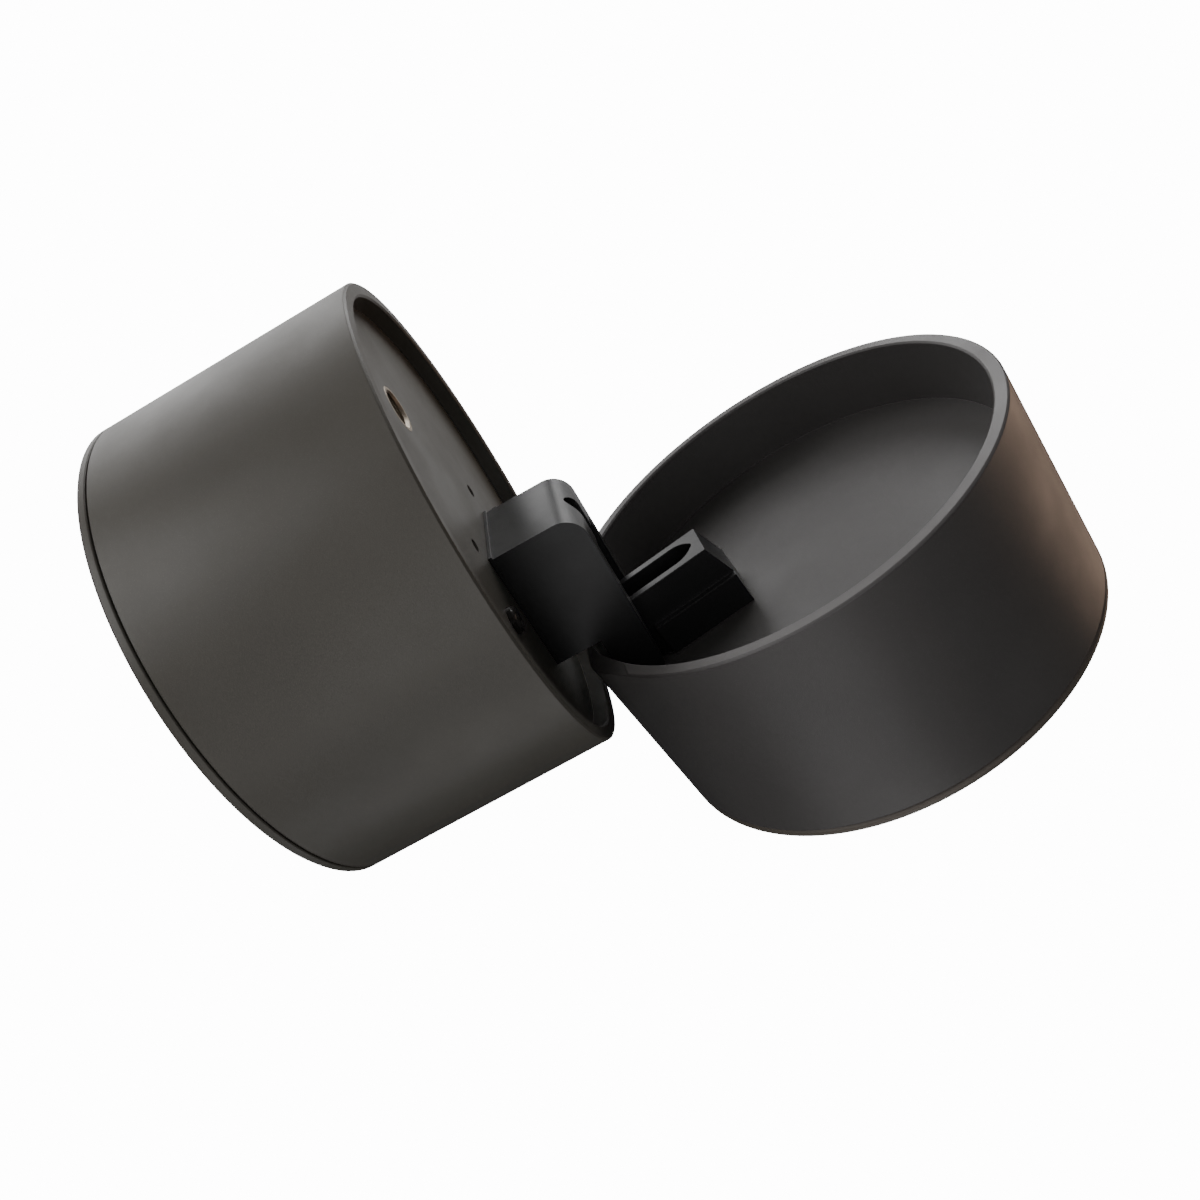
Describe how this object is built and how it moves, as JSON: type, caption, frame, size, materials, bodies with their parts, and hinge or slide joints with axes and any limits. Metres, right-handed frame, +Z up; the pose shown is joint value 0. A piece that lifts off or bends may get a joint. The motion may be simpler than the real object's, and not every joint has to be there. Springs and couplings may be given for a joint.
{
  "type": "folding ceiling spotlight",
  "caption": "Surface-mounted ceiling spotlight: a cylindrical base that swivels on its plate and a lamp head that folds out on a hinge inside the rims.",
  "frame": {"origin": "centre of the ceiling face of the mounting plate", "axes": "+Z up into the ceiling, +X to the hinge side, +Y along the hinge pin"},
  "size_m": [0.156, 0.1, 0.135],
  "materials": {
    "head_graphite": "fine satin powder coat, warm dark graphite",
    "base_graphite": "fine satin powder coat, dark graphite",
    "plate_graphite": "satin powder coat, dark graphite",
    "bezel_graphite": "satin powder coat, dark graphite",
    "hinge_black": "smooth semi-gloss black coat on a zinc casting",
    "foot_plate_black": "satin black coat",
    "washer_black": "matte black acetal",
    "screw_black": "gloss black coat",
    "steel": "zinc-plated, satin",
    "brass": "turned",
    "insert_metal": "bare cut thread, dulled",
    "bare_aluminium": "as cast and turned",
    "nylon": "matte natural nylon",
    "driver_plastic": "fine-textured moulding",
    "terminal_plastic": "matte moulding",
    "circuit_board": "solder resist",
    "transformer_tape": "polyester tape",
    "capacitor_sleeve": "shrink sleeve",
    "rubber_black": "matte moulded rubber",
    "thermal_pad": "matte silicone pad",
    "led_white": "matte white",
    "phosphor": "silicone with phosphor",
    "reflector_metal": "vapour-coated, bright",
    "lens_frosted": "finely frosted",
    "baffle_black": "deep matte black"
  },
  "bodies": {
    "mount": {"ceiling_plate": "plate_graphite", "hollow_nipple": "brass", "wave_washer": "steel", "swivel_nut": "brass", "stop_pin": "steel"},
    "base": {"swivel_bush": "nylon", "swivel_disc": "bare_aluminium", "base_shell": "base_graphite", "hinge_post": "hinge_black", "post_screws": "steel", "wire_grommet": "rubber_black", "driver_case": "driver_plastic", "driver_lid": "driver_plastic", "driver_board": "circuit_board", "driver_transformer": "transformer_tape", "driver_capacitors": "capacitor_sleeve", "driver_screws": "steel", "terminal_block": "terminal_plastic", "terminal_screws": "brass", "earth_screw": "brass", "friction_washers": "washer_black"},
    "head": {"head_shell": "head_graphite", "hinge_hood": "hinge_black", "hood_foot_plate": "foot_plate_black", "hood_screws": "steel", "hinge_pin": "steel", "pin_cap": "hinge_black", "spring_washers": "washer_black", "threaded_insert": "insert_metal", "heat_sink": "bare_aluminium", "heat_sink_screws": "screw_black", "thermal_pad": "thermal_pad", "led_board": "led_white", "led_emitter": "phosphor", "led_holder": "led_white", "led_screws": "steel", "reflector": "reflector_metal", "lens": "lens_frosted", "lens_gasket": "rubber_black", "anti_glare_baffle": "baffle_black", "front_bezel": "bezel_graphite"}
  },
  "joints": [
    {"name": "base_swivel", "type": "hinge", "parent": "mount", "child": "base", "pos_m": [0, 0, -0.01], "axis": [0, 0, 1], "range_deg": [-169, 169]},
    {"name": "head_tilt", "type": "hinge", "parent": "base", "child": "head", "pos_m": [0.0402, 0, -0.0376], "axis": [0, -1, 0], "range_deg": [-83, 7]}
  ]
}
